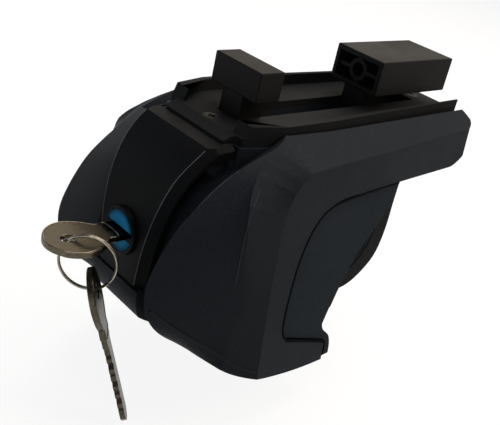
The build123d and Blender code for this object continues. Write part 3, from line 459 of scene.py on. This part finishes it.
# Painted shade: the blue darkens towards the plug's rim, for the shadow of the recess round it.
from_middle = add(tree, "ShaderNodeCombineXYZ", {}, {"Y": axes.outputs["Y"], "Z": above.outputs["Value"]})
reach = add(tree, "ShaderNodeVectorMath", {"operation": "LENGTH"}, {0: from_middle.outputs["Vector"]})
outer = add(tree, "ShaderNodeMapRange",
            {"From Min": rim_shade_starts_mm / 1000, "From Max": rim_shade_full_mm / 1000},
            {"Value": reach.outputs["Value"]})
rim_painted_shade = add(tree, "ShaderNodeMix", {"data_type": "RGBA", 7: linear("#0c3c66")},
               {0: outer.outputs["Result"], 6: tint.outputs["Color"]})
banded = add(tree, "ShaderNodeMix", {"data_type": "RGBA", 6: linear("#050a12")},
             {0: outside.outputs["Result"], 7: rim_painted_shade.outputs[2]})
shader = add(tree, "ShaderNodeBsdfPrincipled", {"Roughness": 0.35, "IOR": 1.5, "Specular IOR Level": 0.02},
             {"Base Color": banded.outputs[2]})
tree.links.new(shader.outputs["BSDF"], output.inputs["Surface"])
dress("lock_plug", lock_blue)

# Key
# Stamped brass blank in the plug, its nickel plate a dull, warm grey. A rim is raised round both faces of the
# bow and across the collar, where the plate is brighter. The shank beyond the collar is painted dark, a
# painted shade where the blade goes into the plug.
lock_front = Vector((-90.2, 0, lock_middle_mm))
key_half_thickness, rim_radius = 1.0, 0.2
rim_half = [(-3.2, 4.5), (-7.0, 4.8), (-8.7, 5.9), (-11.9, 8.4), (-17.95, 10.4), (-22.6, 9.2), (-25.8, 6.5)]
rim_outline = rim_half + [(-28.1, 0.0)] + [(x, -y) for x, y in reversed(rim_half)]


def bow_rims(name, body, place, material):
    """Raised rims on both faces of a key, whose own axes stand at the given place."""
    for face, height in (("upper", key_half_thickness), ("lower", -key_half_thickness)):
        path = [place @ Vector((x, y, height)) for x, y in rim_outline]
        rim = swept(name + "_rim_" + face, path, material, rim_radius, closed=True)
        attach(rim, body)


# Painted shade on the shank, between the collar and the plug's face.
shank_painted_shade = (-96.6, -94.2, -89.6, -87.6, "#0a0b0d")
key_nickel = metal("worn_nickel_plate", "#4a453a", "#675f50", rough_low=0.3, rough_high=0.45, cloud_mm=1.2,
                   painted_shade_band=shank_painted_shade)
rubbed_nickel = metal("rubbed_nickel_plate", "#7a7364", "#958d7b", rough_low=0.22, rough_high=0.35,
                      cloud_mm=1.2)
softened("key", "key", key_nickel, radius=0.0002, crease=40, smooth=30)
bow_rims("key", "key", Matrix.Translation(lock_front), rubbed_nickel)

# Key ring
# Split ring of bright drawn wire through the holes of both bows.
# It is wound in nearly two turns that lie side by side.
upright = Vector((0, 0, 1))
hole = Vector((-110.5, 0, lock_middle_mm))
ring_radius, ring_wire, ring_drop, ring_turn = 10.0, 0.4, 6.5, radians(-47)
level = Vector((cos(ring_turn), sin(ring_turn), 0))
across = level.cross(upright)
ring_middle = hole + level * sqrt(ring_radius ** 2 - ring_drop ** 2) - Vector((0, 0, ring_drop))
ring_turns, ring_pitch, ring_steps = 1.9, 0.8, 46
coil = []
for i in range(ring_steps + 1):
    angle = 2 * pi * ring_turns * i / ring_steps
    lift = ring_pitch * ring_turns * (i / ring_steps - 0.5)
    coil.append(ring_middle + (level * cos(angle) + upright * sin(angle)) * ring_radius + across * lift)
ring_steel = metal("bright_drawn_wire", "#7d7668", "#b7ae9c", rough_low=0.2, rough_high=0.34, cloud_mm=3.0)
ring = swept("split_ring", coil, ring_steel, ring_wire)
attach(ring, "ring")
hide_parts("key_ring")

# Spare key
# The same stamped blank, hanging from the ring by its bow with its edge turned to the lock.
# Its nickel plate is painted darker than the first key's, rims and all, a painted shade for faces turned from
# the light.
spare_tilt, spare_twist, hang_reach, hole_along = radians(19), radians(-12.6), 11.3, -20.3
down = level * sin(spare_tilt) - Vector((0, 0, cos(spare_tilt)))
flat_normal = down.cross(across)
hang = Matrix((down, flat_normal.cross(down), flat_normal)).transposed().to_4x4()
hang.translation = ring_middle + down * hang_reach
hang = hang @ Matrix.Rotation(spare_twist, 4, "X") @ Matrix.Translation((-hole_along, 0, 0))
# Painted shade: the same nickel as the first key's, drawn darker.
spare_painted_shade_nickel = metal("painted_shade_nickel_plate", "#3d3830", "#5a5346", rough_low=0.3, rough_high=0.45, cloud_mm=1.2)
softened("spare_key", "spare", spare_painted_shade_nickel, radius=0.0002, crease=40, smooth=30)
bow_rims("spare_key", "spare", hang, spare_painted_shade_nickel)

# Studio
# A white paper sweep that turns up all round, softboxes overhead, behind, on the right and in front, and
# a dim room. The paper shows white to the eye and in gloss, and throws little light back on the part.
floor_gap, paper_white, white_share, room_light = 0.002, 1.05, 0.85, 0.11
floor_z = cad_box[0][2] - floor_gap
sweep_profile = [(2.5, 0.0), (2.9, 0.06), (3.2, 0.25), (3.4, 0.6), (3.5, 1.1)]
sweep_sides = 48
corners = [(0, 0, floor_z)]
faces = []
for ring_index, (reach, rise) in enumerate(sweep_profile):
    first = len(corners)
    for i in range(sweep_sides):
        angle = 2 * pi * i / sweep_sides
        corners.append((reach * cos(angle), reach * sin(angle), floor_z + rise))
        after = (i + 1) % sweep_sides
        if ring_index:
            faces.append((first - sweep_sides + i, first - sweep_sides + after, first + after, first + i))
        else:
            faces.append((0, first + i, first + after))
floor_mesh = bpy.data.meshes.new("floor")
floor_mesh.from_pydata(corners, [], faces)
floor_mesh.shade_smooth()
floor = bpy.data.objects.new("floor", floor_mesh)
bpy.context.scene.collection.objects.link(floor)
paper, tree, output = new_material("white_paper")
path = add(tree, "ShaderNodeLightPath")
seen = add(tree, "ShaderNodeMath", {"operation": "MAXIMUM"},
           {0: path.outputs["Is Camera Ray"], 1: path.outputs["Is Glossy Ray"]})
seen = add(tree, "ShaderNodeMath", {"operation": "MAXIMUM"},
           {0: seen.outputs["Value"], 1: path.outputs["Is Transmission Ray"]})
bounce = add(tree, "ShaderNodeBsdfDiffuse", {"Color": linear("#666664")})
lit = add(tree, "ShaderNodeBsdfDiffuse", {"Color": linear("#fbfbfa")})
white = add(tree, "ShaderNodeEmission", {"Color": linear("#ffffff"), "Strength": paper_white})
shown = add(tree, "ShaderNodeMixShader", {0: white_share},
            {1: lit.outputs["BSDF"], 2: white.outputs["Emission"]})
sheet = add(tree, "ShaderNodeMixShader", {},
            {0: seen.outputs["Value"], 1: bounce.outputs["BSDF"], 2: shown.outputs["Shader"]})
tree.links.new(sheet.outputs["Shader"], output.inputs["Surface"])
floor_mesh.materials.append(paper)

world = bpy.data.worlds.new("studio")
bpy.context.scene.world = world
world.use_nodes = True
tree = world.node_tree
tree.nodes.clear()
sky = add(tree, "ShaderNodeBackground", {"Color": linear("#cfdfff"), "Strength": room_light})
add(tree, "ShaderNodeOutputWorld", {}, {"Surface": sky.outputs["Background"]})


def softbox(name, place, target, size, power, colour):
    """A soft rectangular lamp at a place, turned to its target."""
    lamp = bpy.data.lights.new(name, "AREA")
    lamp.shape = "RECTANGLE"
    lamp.size, lamp.size_y = size
    lamp.energy = power
    lamp.color = linear(colour)[:3]
    holder = bpy.data.objects.new(name, lamp)
    holder.location = place
    holder.rotation_euler = (Vector(target) - Vector(place)).to_track_quat("-Z", "Y").to_euler()
    bpy.context.scene.collection.objects.link(holder)


deck, far_wing, leg, lock_face = (-0.03, 0, -0.02), (-0.08, 0.02, -0.03), (0, 0, -0.04), (-0.08, 0, -0.04)
softbox("overhead", (0.32, 0.05, 0.9), deck, size=(0.8, 0.9), power=8.5, colour="#fffaf2")
softbox("back_right", (0.75, 0.75, 0.6), deck, size=(0.9, 0.7), power=3.0, colour="#ffefd9")
softbox("back_left", (-0.33, 0.95, 0.1), far_wing, size=(0.5, 0.5), power=1.2, colour="#ffffff")
softbox("right_side", (0.7, -0.7, 0.7), leg, size=(0.6, 0.6), power=6.0, colour="#ffe8d0")
softbox("front_left", (-0.8, -0.45, 0.25), lock_face, size=(0.6, 0.6), power=1.0, colour="#ffffff")

lens = bpy.data.cameras.new("camera")
lens.sensor_width = 36.0
lens.lens = 59.1
eye = bpy.data.objects.new("camera", lens)
eye_place = (-0.24452, -0.20140, 0.10016)
level_turn = radians(-47.25)
rise = radians(26.06)
roll = radians(-13.1)
right = Vector((cos(level_turn), sin(level_turn), 0))
look = Vector((-sin(level_turn) * cos(rise), cos(level_turn) * cos(rise), -sin(rise)))
up = right.cross(look)
turned_right = right * cos(roll) - up * sin(roll)
turned_up = up * cos(roll) + right * sin(roll)
turn = Matrix((turned_right, turned_up, -look)).transposed().to_4x4()
turn.translation = eye_place
eye.matrix_world = turn
bpy.context.scene.collection.objects.link(eye)
bpy.context.scene.camera = eye
